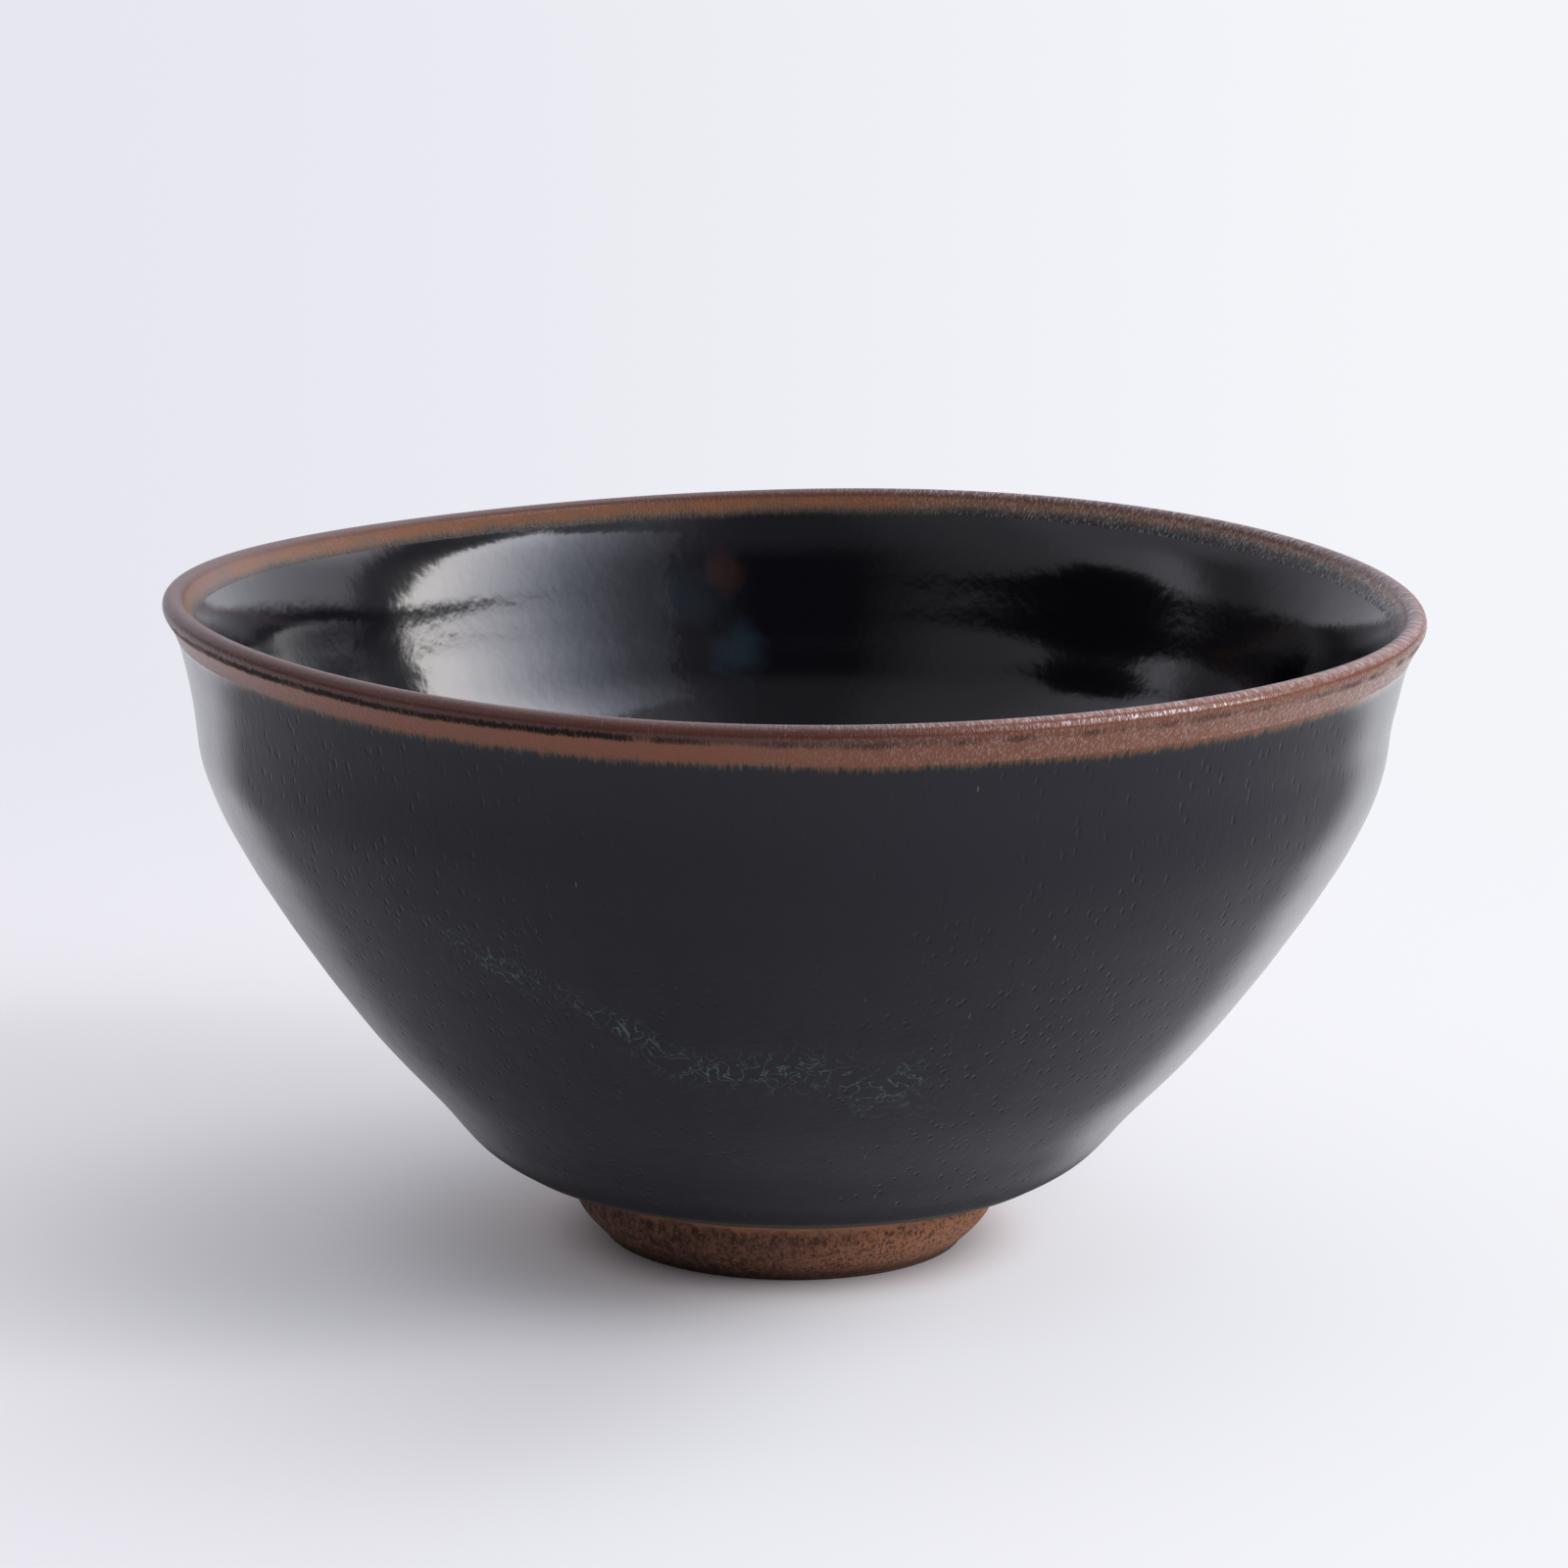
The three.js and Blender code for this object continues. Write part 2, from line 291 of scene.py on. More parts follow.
class BowlOutline:
    """The rings of the bowl, each with its place on the glaze and on the clay right under it."""

    def __init__(self, shape):
        self.shape = shape
        self.neck = NECK_SHARE * shape.bowl_height
        self.belly = BELLY_SHARE * shape.bowl_height
        self.lower = LOWER_SHARE * shape.bowl_height
        round_ = shape.lip_thickness / 2
        self.lip_centre = point(shape.lip_radius - round_, shape.bowl_height - round_)
        self.lip_outside = on_circle(self.lip_centre, round_, -shape.lip_lean)
        self.lip_inside = on_circle(self.lip_centre, round_, pi - shape.lip_lean)
        self.wall = [point(radius * shape.lip_radius, height * shape.bowl_height)
                     for radius, height in WALL_SHARES]
        self.outside = SmoothCurve(self.wall + [self.lip_outside])
        self.inside = SmoothCurve(self.inside_points())
        self.band_in_height = shape.bowl_height - shape.band_inside
        self.band_out_height = shape.bowl_height - shape.band_outside
        self.make_rings()

    def wall_thickness(self, height):
        shape = self.shape
        belly = mix(shape.lower_wall, shape.belly_wall, smooth(height, self.lower, self.belly))
        neck = mix(belly, shape.neck_wall, smooth(height, self.belly, self.neck))
        return mix(neck, shape.lip_thickness, smooth(height, self.neck, shape.bowl_height))

    def inside_points(self):
        """The inside follows the outside at the wall's thickness, then runs into the well."""
        points = [self.lip_inside]
        spans = len(self.wall)
        for station in reversed(range(spans)):
            outside = self.wall[station]
            if outside.y < self.lower:
                break
            outward = outward_of(self.outside.direction(station / spans))
            points.append(outside - outward * self.wall_thickness(outside.y))
        wall_end = points[-1]
        floor_height = self.shape.floor_height
        for radius, rise in WELL_SHARES:
            points.append(point(radius * wall_end.x, mix(floor_height, wall_end.y, rise)))
        return points

    def outside_coat_at(self, place):
        shape = self.shape
        share = min(max((place.y - self.wall[0].y) / shape.roll_height, 0.0), 1.0)
        swell = sin(pi * sqrt(share))
        coat = mix(shape.edge_coat, shape.outside_coat, smooth(share, 0.0, ROLL_EDGE_SHARE))
        drawn = mix(coat, shape.lip_coat, smooth(place.y, self.belly, self.lip_outside.y))
        return drawn + (shape.roll_thickness - shape.outside_coat) * swell

    def inside_coat_at(self, place):
        shape = self.shape
        pooled = mix(shape.pool_thickness, shape.inside_coat, smooth(place.x, 0.0, shape.pool_radius))
        return mix(pooled, shape.lip_coat, smooth(place.y, self.band_in_height, self.lip_inside.y))

    def lip_rings(self):
        """The half-round lip without its two ends, which the wall's rings already have."""
        round_, lean = self.shape.lip_thickness / 2, self.shape.lip_lean
        sides = (arc(self.lip_centre, radius, -lean, pi - lean, LIP_ROWS)[1:-1]
                 for radius in (round_, round_ - self.shape.lip_coat))
        return [Ring(glaze, clay) for glaze, clay in zip(*sides)]

    def make_rings(self):
        rows = self.shape.rows_per_span
        band_out = self.outside.along_at(self.band_out_height)
        band_in = self.inside.along_at(self.band_in_height)
        outside_rows = round(band_out * len(self.wall) * rows)
        inside_rows = (len(self.inside.points) - 1) * rows
        self.outside_rings = self.outside.rings(0.0, band_out, outside_rows, self.outside_coat_at)
        self.inside_rings = self.inside.rings(band_in, 1.0, inside_rows, self.inside_coat_at)
        self.brown_rings = (
            self.outside.rings(band_out, 1.0, BAND_ROWS, self.outside_coat_at)
            + self.lip_rings()
            + self.inside.rings(0.0, band_in, BAND_ROWS, self.inside_coat_at))

    def foot(self):
        """Recess, rounded resting ring, tapered side and root fillet, up to the glaze's edge."""
        shape = self.shape
        resting = shape.foot_radius - shape.foot_taper
        recess = resting - shape.resting_width
        edge = shape.resting_round
        corner = point(recess - shape.recess_taper - shape.recess_corner,
                       shape.recess_depth - shape.recess_corner)
        made = [point(0.0, shape.recess_depth)]
        made += arc(corner, shape.recess_corner, pi / 2, 0.0, FOOT_ROWS)
        made += arc(point(recess + edge, edge), edge, pi, 1.5 * pi, FOOT_ROWS)
        made += arc(point(resting - edge, edge), edge, 1.5 * pi, 2 * pi, FOOT_ROWS)
        for row in range(1, FOOT_ROWS + 1):
            share = row / FOOT_ROWS
            made.append(point(resting + shape.foot_taper * sin(share * pi / 2),
                              mix(edge, shape.foot_side, share)))
        fillet = point(shape.foot_radius + shape.root_fillet, shape.foot_side)
        underside = self.outside_rings[0].clay - fillet
        sweep_end = atan2(underside.y, underside.x) + acos(shape.root_fillet / underside.length)
        return made + arc(fillet, shape.root_fillet, pi, sweep_end, FOOT_ROWS)[1:]


def air_side(rings):
    return [ring.glaze for ring in rings]


def closed_coat(rings):
    return air_side(rings) + clay_side(rings)[::-1] + [rings[0].glaze]


def swollen_air_side(shape, rings):
    """The air side inside the bowl, where the glaze gathered under the lip and thinned below."""
    swell = SmoothCurve([point(share * shape.inside_swell, height * shape.bowl_height)
                         for share, height in SWELL_SHARES])
    lowest, highest = swell.points[0].y, swell.points[-1].y
    made = []
    for place in air_side(rings):
        thicker = swell.place(swell.along_at(place.y)).x if lowest < place.y < highest else 0.0
        made.append(point(place.x - thicker, place.y))
    return made


def clay_side(rings):
    """The hidden side of a coat, in longer steps, but with both its ends."""
    return [ring.clay for ring in rings[:-1:HIDDEN_ROW_STEP]] + [rings[-1].clay]


# Throwing: one outline is drawn point by point, spun about the axis and closed

def deselect_everything():
    if bpy.context.mode != "OBJECT":
        bpy.ops.object.mode_set(mode="OBJECT")
    bpy.ops.object.select_all(action="DESELECT")


def throw(name, outline):
    """Turn an outline of (radius, height) points about +Z into a closed piece."""
    deselect_everything()
    bpy.ops.mesh.primitive_plane_add(size=MM, location=(0.0, 0.0, 0.0))
    piece = bpy.context.object
    piece.name = piece.data.name = name
    bpy.ops.object.mode_set(mode="EDIT")
    bpy.ops.mesh.merge(type="CENTER")
    bpy.ops.transform.translate(value=(outline[0].x, 0.0, outline[0].y))
    for here, target in zip(outline, outline[1:]):
        step = target - here
        bpy.ops.mesh.extrude_vertices_move(TRANSFORM_OT_translate={"value": (step.x, 0.0, step.y)})
    bpy.ops.mesh.select_all(action="SELECT")
    steps = bpy.context.scene.tea_bowl.shape.turn_steps
    bpy.ops.mesh.spin(steps=steps, angle=2 * pi, center=(0.0, 0.0, 0.0), axis=(0.0, 0.0, 1.0))
    bpy.ops.mesh.select_all(action="SELECT")
    bpy.ops.mesh.remove_doubles(threshold=MERGE_REACH)
    bpy.ops.mesh.normals_make_consistent(inside=False)
    bpy.ops.object.mode_set(mode="OBJECT")
    sway(piece)
    bpy.ops.object.shade_smooth_by_angle(angle=SMOOTHED_UP_TO)
    return piece


def rim_waves(shape):
    """The waves of the rim: how many round the bowl, their rise, a turn where one is highest."""
    return ((1, shape.rim_tilt, shape.rim_tilt_turn), (2, shape.rim_sag, shape.rim_sag_turn),
            (3, shape.rim_ripple, shape.rim_ripple_turn))


def read_places(piece):
    places = np.empty(len(piece.data.vertices) * 3)
    piece.data.vertices.foreach_get("co", places)
    return places.reshape(-1, 3)


def write_places(piece, places):
    piece.data.vertices.foreach_set("co", places.ravel())
    piece.data.update()


def waves(table, turn, height):
    """Sum of slow waves round the bowl, each (count, twist per millimetre, start, share)."""
    return sum(share * np.cos(count * turn + twist * height / MM + start)
               for count, twist, start, share in table)


def sway(piece):
    """Give a thrown piece the hand-thrown unevenness and rim that all pieces of the bowl share."""
    shape = bpy.context.scene.tea_bowl.shape
    places = read_places(piece)
    height = places[:, 2].copy()
    turn = np.arctan2(places[:, 1], places[:, 0])
    lower = LOWER_SHARE * shape.bowl_height
    share = np.maximum((height - lower) / (shape.bowl_height - lower), 0.0)
    radius = np.maximum(np.hypot(places[:, 0], places[:, 1]), MM)
    spiral = np.cos(turn + 2 * pi * height / THROWING_PITCH)
    stray = shape.unevenness * waves(UNEVEN_WAVES, turn, height) + shape.throwing_rings * spiral
    places[:, :2] *= (1.0 + np.sqrt(share) * stray / radius)[:, None]
    wave = sum(rise * np.cos(count * (turn - highest))
               for count, rise, highest in rim_waves(shape))
    places[:, 2] += wave * share ** 2
    write_places(piece, places)


def draw_up_edge(piece, edge):
    """Let the glaze end unevenly above the foot: its edge creeps up along the clay in places."""
    shape = bpy.context.scene.tea_bowl.shape
    places = read_places(piece)
    turn = np.arctan2(places[:, 1], places[:, 0])
    radius = np.hypot(places[:, 0], places[:, 1])
    near = np.clip(1.0 - (radius - edge.clay.x) / shape.edge_reach, 0.0, 1.0)
    creep = shape.edge_creep * (0.5 + 0.5 * waves(EDGE_WAVES, turn, 0.0)) * near ** 2
    along = (edge.glaze - edge.clay).normalized()
    places[:, :2] *= (1.0 - along.y * creep / radius)[:, None]
    places[:, 2] += along.x * creep
    write_places(piece, places)


def finish_piece(piece, node, material):
    piece.data.materials.clear()
    piece.data.materials.append(material)
    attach(piece, ROOT)
    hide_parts(node)


# Materials. Sizes, heights and depths are in millimetres. A depth counts down from the crest of
# the lip, and aside runs from -1 at the bowl's left to 1 at its right.

PIT_FLOOR = 0.2

# Outside: how far the brown runs down past its own coat, also on the right, and in uneven runs
BAND_DROP, RIGHT_DROP = 0.22, 0.4
FINE_RUNS, MIDDLING_RUNS, BROAD_RUNS = 1.7, 0.6, 0.8
BAND_BLEND = 0.34
OLIVE_WIDTH = 0.75
RUN_STRETCH = 7
# The black line is partly pooled glaze and partly painted shade of a groove that the lip's shape
# lacks.
# The broken black line under the crest: its depth, how far it wanders, where it is strong
LINE_DEPTH, LINE_WANDER, LINE_JOG = 1.72, 0.7, 0.25
LINE_RAGGEDNESS = 0.9
LINE_SHARE, LEFT_LINE_SHARE = 0.6, 0.38
# Painted light: how far the bead takes on the lighter rust towards its right, the window's side
BEAD_PAINTED_LIGHT = 0.75
# Brown where the glaze thins out above the foot
THIN_EDGE_TOP, THIN_EDGE_BOTTOM, THIN_EDGE_SHARE = 9.4, 8.7, 0.6
# Satin black: tone of its mottling, share of the flecks, roughness that is uneven or near the edge
MOTTLE_TONE, FLECK_SHARE, UNEVEN_SATIN, DRY_EDGE = 0.72, 0.7, 0.10, 0.35
UPPER_SHINE = 0.055
LIP_FLECK_SHARE, LIP_FLECK_TONE = 0.35, 1.7

# Inside: how far the brown stays short of its coat, also on the right, and its uneven runs
INSIDE_RISE, RIGHT_RISE = 0.1, 0.7
INSIDE_FINE_RUNS, INSIDE_BROAD_RUNS = 0.8, 1.1
INSIDE_OLIVE = 0.45

# Patches of threads: place across, height, half length, half width, tilt in degrees
BLOOM_PATCHES = (
    (-8, 29.4, 5, 1.6, -6), (-0.5, 29.6, 5, 2, 4), (7.5, 27.4, 4, 2.2, -30),
    (11.5, 28.4, 2.2, 2, 30), (-15.5, 33.6, 6.5, 1.2, -30), (-28, 39, 7, 1.2, -22))
THREAD_EDGE, THREAD_CORE = 0.026, 0.003
HAZE_SHARE = 0.10
# Tinges in the black inside: share, turn in degrees, height, size
TEAL_TINGES = ((0.26, 96.5, 49, 4), (0.12, 102, 55, 5))
RUST_TINGE = (0.10, 98, 57.5, 3)

# Relief
PEEL, FINE_PEEL, RUNS = 0.030, 0.016, 0.012
PIT_DEPTH, SMALL_PIT_DEPTH = 0.065, 0.016
SMALL_PIT_SHIFT = (31, 7, 3)
GLOSSY_LUMPS = ((0.8, 0.009), (2, 0.018), (12, 0.06))
LIP_STREAKS, LIP_GRAIN = 0.045, 0.040
CLAY_GRIT, CLAY_LUMPS = 0.06, 0.08


class Wire:
    """One socket of a material. Arithmetic on it adds Math nodes."""

    def __init__(self, bench, socket):
        self.bench = bench
        self.socket = socket

    def __add__(self, other):
        return self.bench.maths("ADD", self, other)

    __radd__ = __add__

    def __sub__(self, other):
        return self.bench.maths("SUBTRACT", self, other)

    def __rsub__(self, other):
        return self.bench.maths("SUBTRACT", other, self)

    def __mul__(self, other):
        return self.bench.maths("MULTIPLY", self, other)

    __rmul__ = __mul__

    def __truediv__(self, other):
        return self.bench.maths("DIVIDE", self, other)

    def __pow__(self, other):
        return self.bench.maths("POWER", self, other)

    def __abs__(self):
        return self.bench.maths("ABSOLUTE", self)


class Bench:
    """A node tree and the few kinds of nodes that this bowl's materials are mixed from."""

    def __init__(self, tree):
        self.tree = tree
        tree.nodes.clear()

    def node(self, kind, settings=None, inputs=None, output=0):
        made = self.tree.nodes.new(kind)
        for key, value in (settings or {}).items():
            if key == "stops":
                self.set_stops(made.color_ramp, value)
            else:
                setattr(made, key, value)
        for key, value in (inputs or {}).items():
            if isinstance(value, Wire):
                self.tree.links.new(value.socket, made.inputs[key])
            else:
                made.inputs[key].default_value = value
        return Wire(self, made.outputs[output]) if made.outputs else made

    @staticmethod
    def set_stops(ramp, stops):
        while len(ramp.elements) < len(stops):
            ramp.elements.new(1)
        for element, (position, shade) in zip(ramp.elements, stops):
            element.position = position
            element.color = shade

    def maths(self, operation, *values):
        return self.node("ShaderNodeMath", {"operation": operation}, dict(enumerate(values)))

    def hypot(self, x, y):
        return self.maths("SQRT", x * x + y * y)

    def vector_maths(self, operation, *values):
        return self.node("ShaderNodeVectorMath", {"operation": operation}, dict(enumerate(values)))

    def split(self, vector):
        made = self.node("ShaderNodeSeparateXYZ", inputs={0: vector})
        return [Wire(self, socket) for socket in made.socket.node.outputs]

    def combine(self, x, y, z):
        return self.node("ShaderNodeCombineXYZ", inputs={0: x, 1: y, 2: z})

    def mix(self, share, first, second):
        return self.node("ShaderNodeMix", {"data_type": "RGBA"}, {0: share, 6: first, 7: second}, 2)

    def smooth(self, value, low, high, start=0, end=1):
        """Goes softly from start to end while value goes from low to high, up or down."""
        return self.node("ShaderNodeMapRange", {"interpolation_type": "SMOOTHSTEP"},
                         {0: value, 1: low, 2: high, 3: start, 4: end})

    def noise(self, place, size, detail=2, roughness=0.5, distortion=0):
        """Soft lumps about size across, in the unit of place, from 0 to 1 round a half."""
        return self.node("ShaderNodeTexNoise", None, {
            "Vector": place, "Scale": 1 / size, "Detail": detail,
            "Roughness": roughness, "Distortion": distortion})

    def pits(self, place, spacing, radius):
        """1 on the flat floor of small round pits, 0 between them."""
        away = self.node("ShaderNodeTexVoronoi", None, {"Vector": place, "Scale": 1 / spacing})
        return self.smooth(away, radius / spacing, PIT_FLOOR * radius / spacing)

    def bump(self, height):
        """A surface raised by a height in millimetres."""
        return self.node("ShaderNodeBump", None, {"Height": height, "Strength": 1, "Distance": MM})

    def surface(self, settings):
        shader = self.node("ShaderNodeBsdfPrincipled", None, settings)
        self.node("ShaderNodeOutputMaterial", None, {"Surface": shader})


def new_material(name):
    material = bpy.data.materials.new(name)
    material.use_nodes = True
    return material, Bench(material.node_tree)


def paint(shade, tone=1):
    """A shade as a node takes it, lighter or darker by a tone."""
    return (*(tone * part for part in shade), 1)


class BowlPlace:
    """Where a point of the bowl is, in millimetres, with the rim's wave taken out."""

    def __init__(self, bench, shape):
        self.bench = bench
        place = bench.node("ShaderNodeTexCoord", None, None, "Object")
        self.place = bench.node("ShaderNodeVectorMath", {"operation": "SCALE"},
                                {0: place, "Scale": 1 / MM})
        x, y, z = bench.split(self.place)
        self.radius = bench.hypot(x, y)
        turn = bench.maths("ARCTAN2", y, x)
        wave = sum(rise / MM * bench.maths("COSINE", count * turn - count * highest)
                   for count, rise, highest in rim_waves(shape))
        crest = shape.bowl_height / MM
        lower = LOWER_SHARE * crest
        share = bench.maths("MAXIMUM", (z - lower) / (crest - lower), 0) ** 2
        self.height = z - wave * share
        self.depth = crest - self.height
        lip = shape.lip_radius / MM
        safe_radius = bench.maths("MAXIMUM", self.radius, 0.01)
        self.aside = x / safe_radius
        self.around = bench.combine(self.aside * lip, y / safe_radius * lip, 0)
        self.turn = turn

    def flow(self, stretch):
        """A place in which patterns run long and thin down the wall."""
        drop = self.bench.combine(0, 0, self.height / stretch)
        return self.bench.vector_maths("ADD", self.around, drop)


def outside_zones(bench, where, shape, look):
    """Colour of the glaze outside, share of the brown in it, share of the black line in that."""
    fine = bench.noise(where.flow(RUN_STRETCH), size=0.24) - 0.5
    middling = bench.noise(where.flow(4), size=1.3) - 0.5
    broad = bench.noise(where.around, size=16, detail=1) - 0.5
    to_right = bench.smooth(where.aside, -0.1, 0.6)
    edge = (shape.band_outside / MM + BAND_DROP + RIGHT_DROP * to_right
            + FINE_RUNS * fine + MIDDLING_RUNS * middling + BROAD_RUNS * broad)
    brown = bench.smooth(where.depth, edge + BAND_BLEND, edge - BAND_BLEND)
    olive = bench.smooth(where.depth, edge - OLIVE_WIDTH, edge + 0.05)

    wander = bench.noise(where.around, size=30, detail=1) - 0.5
    line_depth = LINE_DEPTH + LINE_WANDER * wander + LINE_JOG * middling
    streaks = bench.noise(where.flow(RUN_STRETCH), size=0.14)
    ragged = LINE_RAGGEDNESS * (streaks - 0.5)
    to_left = bench.smooth(where.aside, -0.02, -0.3) * bench.smooth(where.aside, -0.95, -0.82)
    lengths = bench.noise(where.around, size=4, detail=3)
    broken = bench.smooth(lengths + ragged + 0.2 * to_left, 0.38, 0.58)
    # Pooled glaze and painted shade: the dark line also stands for a shadowed groove.
    pooled = bench.smooth(abs(where.depth - line_depth) + ragged, 0.52, 0.16) * broken
    pooled = pooled * (LINE_SHARE + LEFT_LINE_SHARE * to_left)

    bead = bench.smooth(where.depth, line_depth + 0.35, line_depth - 0.25)
    # Painted light: the bead is lighter rust on the right, on the window's side.
    painted_bead_light = bench.smooth(where.aside, 0, 0.4) * BEAD_PAINTED_LIGHT
    bead_shade = bench.mix(painted_bead_light, paint(look.bead_brown), paint(look.rust))
    shade = bench.mix(bead, paint(look.rust), bead_shade)
    shade = bench.mix(olive, shade, paint(look.olive))
    shade = bench.mix(pooled, shade, paint(look.pooled))
    thin_edge = bench.smooth(where.height, THIN_EDGE_TOP, THIN_EDGE_BOTTOM) * THIN_EDGE_SHARE
    return shade, bench.maths("MAXIMUM", brown, thin_edge), pooled


def inside_zones(bench, where, shape, look):
    """Colour of the brown band inside the lip, and how far it covers the black."""
    fine = bench.noise(where.flow(3), size=0.3) - 0.5
    broad = bench.noise(where.around, size=12) - 0.5
    to_right = bench.smooth(where.aside, 0.1, 0.6)
    edge = (shape.band_inside / MM - INSIDE_RISE - RIGHT_RISE * to_right
            + INSIDE_FINE_RUNS * fine + INSIDE_BROAD_RUNS * broad)
    brown = bench.smooth(where.depth, edge + 0.5, edge - 0.6)
    olive = bench.smooth(where.depth, edge - 0.9, edge)
    bead = bench.smooth(where.depth, 0.9, 0.2)
    uneven = bench.smooth(bench.noise(where.flow(0.7), size=3.5, detail=4), 0.38, 0.72)
    shade = bench.mix(uneven * INSIDE_OLIVE, paint(look.amber), paint(look.olive))
    shade = bench.mix(bead, shade, paint(look.bead_brown))
    return bench.mix(olive, shade, paint(look.olive)), brown


def bloom_threads(bench, where):
    """Lace of thin threads on a few patches of the outside, as shares of the bloom colour."""
    across = (where.turn + pi / 2) * where.radius
    patches = 0
    for middle, height, half_length, half_width, tilt in BLOOM_PATCHES:
        slope = radians(tilt)
        right, up = across - middle, where.height - height
        along = (right * cos(slope) + up * sin(slope)) / half_length
        off = (up * cos(slope) - right * sin(slope)) / half_width
        patches = bench.maths("EXPONENT", 0 - (along * along + off * off)) + patches
    lace = bench.noise(where.place, size=2, roughness=0.55, distortion=0.9)
    thread = bench.smooth(abs(lace - 0.5), THREAD_EDGE, THREAD_CORE)
    haze = bench.smooth(bench.noise(where.place, size=1.6, detail=3), 0.5, 0.75)
    return patches * (thread + haze * HAZE_SHARE)


def inside_tints(bench, where, look, shade):
    """The black inside with its two teal tinges and the rusty one."""
    wobble = bench.noise(where.place, size=3, detail=3) - 0.5
    tinges = [(look.teal, *tinge) for tinge in TEAL_TINGES] + [(look.rust, *RUST_TINGE)]
    for tint, strength, turn, height, size in tinges:
        right = (where.turn - radians(turn)) * where.radius
        up = where.height - height
        away = bench.hypot(right, up) / size + wobble
        shade = bench.mix(bench.smooth(away, 1, 0.2) * strength, shade, paint(tint))
    return shade


def outside_relief(bench, where):
    """Orange peel, runs and the pits that gas left in the satin glaze."""
    tall = bench.vector_maths("MULTIPLY", where.place, (1, 1, 0.4))
    peel = bench.noise(where.place, size=1.5) * PEEL + bench.noise(tall, size=0.5) * FINE_PEEL
    runs = bench.noise(where.flow(8), size=0.35) * RUNS
    flanks = bench.smooth(abs(where.aside + 0.05), 0.1, 0.6)
    clusters = bench.smooth(bench.noise(where.place, size=6) + 0.2 * flanks, 0.50, 0.66)
    large = bench.pits(tall, spacing=1, radius=0.30) * clusters * PIT_DEPTH
    shifted = bench.vector_maths("ADD", tall, SMALL_PIT_SHIFT)
    small = bench.pits(shifted, spacing=0.75, radius=0.17) * SMALL_PIT_DEPTH
    return peel + runs - large - small


def inside_relief(bench, where):
    """The lumpy skin of the glossy glaze."""
    return sum(bench.noise(where.place, size, detail=1) * height for size, height in GLOSSY_LUMPS)


def satin_black(shape, look):
    """Satin black with threads and flecks, brown towards the lip and where it thins at the foot, with
    a painted sheen of grey high on the right.
    """
    material, bench = new_material("satin_black_glaze")
    where = BowlPlace(bench, shape)
    zone, brown, _ = outside_zones(bench, where, shape, look)
    mottle = bench.noise(where.flow(2), size=3.5, detail=4)
    black = bench.mix(bench.smooth(mottle, 0.35, 0.7), paint(look.black_outside),
                      paint(look.black_outside, MOTTLE_TONE))
    # Painted sheen: the black turns greyer high up and to the right, on the window's side.
    painted_sheen_share = bench.smooth(where.height + 12 * where.aside, 30, 65)
    black = bench.mix(painted_sheen_share, black, paint(look.painted_sheen_grey))
    threads = bench.maths("MINIMUM", bloom_threads(bench, where), 1)
    black = bench.mix(threads, black, paint(look.bloom))
    flecks = bench.pits(where.flow(4), spacing=2.2, radius=0.11) * FLECK_SHARE
    black = bench.mix(flecks, black, paint(look.fleck))
    shade = bench.mix(brown, black, zone)

    uneven = bench.noise(where.place, size=2.4, detail=3) - 0.5
    dry_edge = bench.smooth(where.height, 13, 9.5) * DRY_EDGE
    roughness = (look.satin + uneven * UNEVEN_SATIN
                 - brown * (look.satin - look.lip_satin) + dry_edge)

    # At a glancing view the upper sides shine most and the roll above the foot not at all
    facing = bench.node("ShaderNodeLayerWeight", None, {"Blend": 0.5}, "Facing")
    earlier = bench.smooth(where.height, 30, 50) * UPPER_SHINE
    higher = bench.smooth(where.height + 14 * where.aside, 16, 38, 0.35, 1)
    above_roll = bench.smooth(where.height, 10, 15)
    glancing = bench.smooth(facing + earlier, 0.68, 0.84) * higher * above_roll
    bench.surface({"Base Color": shade, "Roughness": roughness,
                   "Normal": bench.bump(outside_relief(bench, where)),
                   "Specular IOR Level": look.satin_shine, "Coat Weight": glancing,
                   "Coat Roughness": 0.25, "Coat IOR": 1.9})
    return material


def glossy_black(shape, look):
    """Mirror-glossy black, brown under the lip."""
    material, bench = new_material("glossy_black_glaze")
    where = BowlPlace(bench, shape)
    zone, brown = inside_zones(bench, where, shape, look)
    black = inside_tints(bench, where, look, paint(look.black_inside))
    shade = bench.mix(brown, black, zone)
    roughness = look.gloss + brown * (look.lip_satin - look.gloss) * 0.7
    bench.surface({"Base Color": shade, "Roughness": roughness,
                   "Normal": bench.bump(inside_relief(bench, where))})
    return material


def rust_brown(shape, look):
    """Over the lip both recipes meet at its crest, so the coats on both sides run on unseen."""
    material, bench = new_material("rust_brown_glaze")
    where = BowlPlace(bench, shape)
    outside, outside_brown, pooled = outside_zones(bench, where, shape, look)
    inside, inside_brown = inside_zones(bench, where, shape, look)
    crest = (shape.lip_radius - shape.lip_thickness / 2) / MM
    lean = tan(shape.lip_lean)
    outer = bench.smooth(where.radius - crest + where.depth * lean, -0.25, 0.25)
    outside = bench.mix(outside_brown, paint(look.black_outside), outside)
    inside = bench.mix(inside_brown, paint(look.black_inside), inside)
    shade = bench.mix(outer, inside, outside)
    streaks = bench.noise(where.flow(6), size=0.16)
    grain = bench.noise(where.place, size=0.3, detail=3)
    fleck = bench.smooth(streaks * 0.6 + grain * 0.4, 0.55, 0.72)
    shade = bench.mix(fleck * LIP_FLECK_SHARE, shade, paint(look.rust, LIP_FLECK_TONE))

    sparkle = bench.smooth(bench.noise(where.flow(2.5), size=0.16, detail=1), 0.50, 0.64)
    glints = sparkle * bench.smooth(where.aside, -0.2, 0.4) * (1 - pooled)
    bench.surface({"Base Color": shade, "Roughness": look.lip_satin + pooled * outer * 0.7,
                   "Normal": bench.bump(streaks * LIP_STREAKS + grain * LIP_GRAIN),
                   "Specular IOR Level": 0.3, "Coat Weight": glints,
                   "Coat Roughness": 0.22, "Coat IOR": 1.8})
    return material


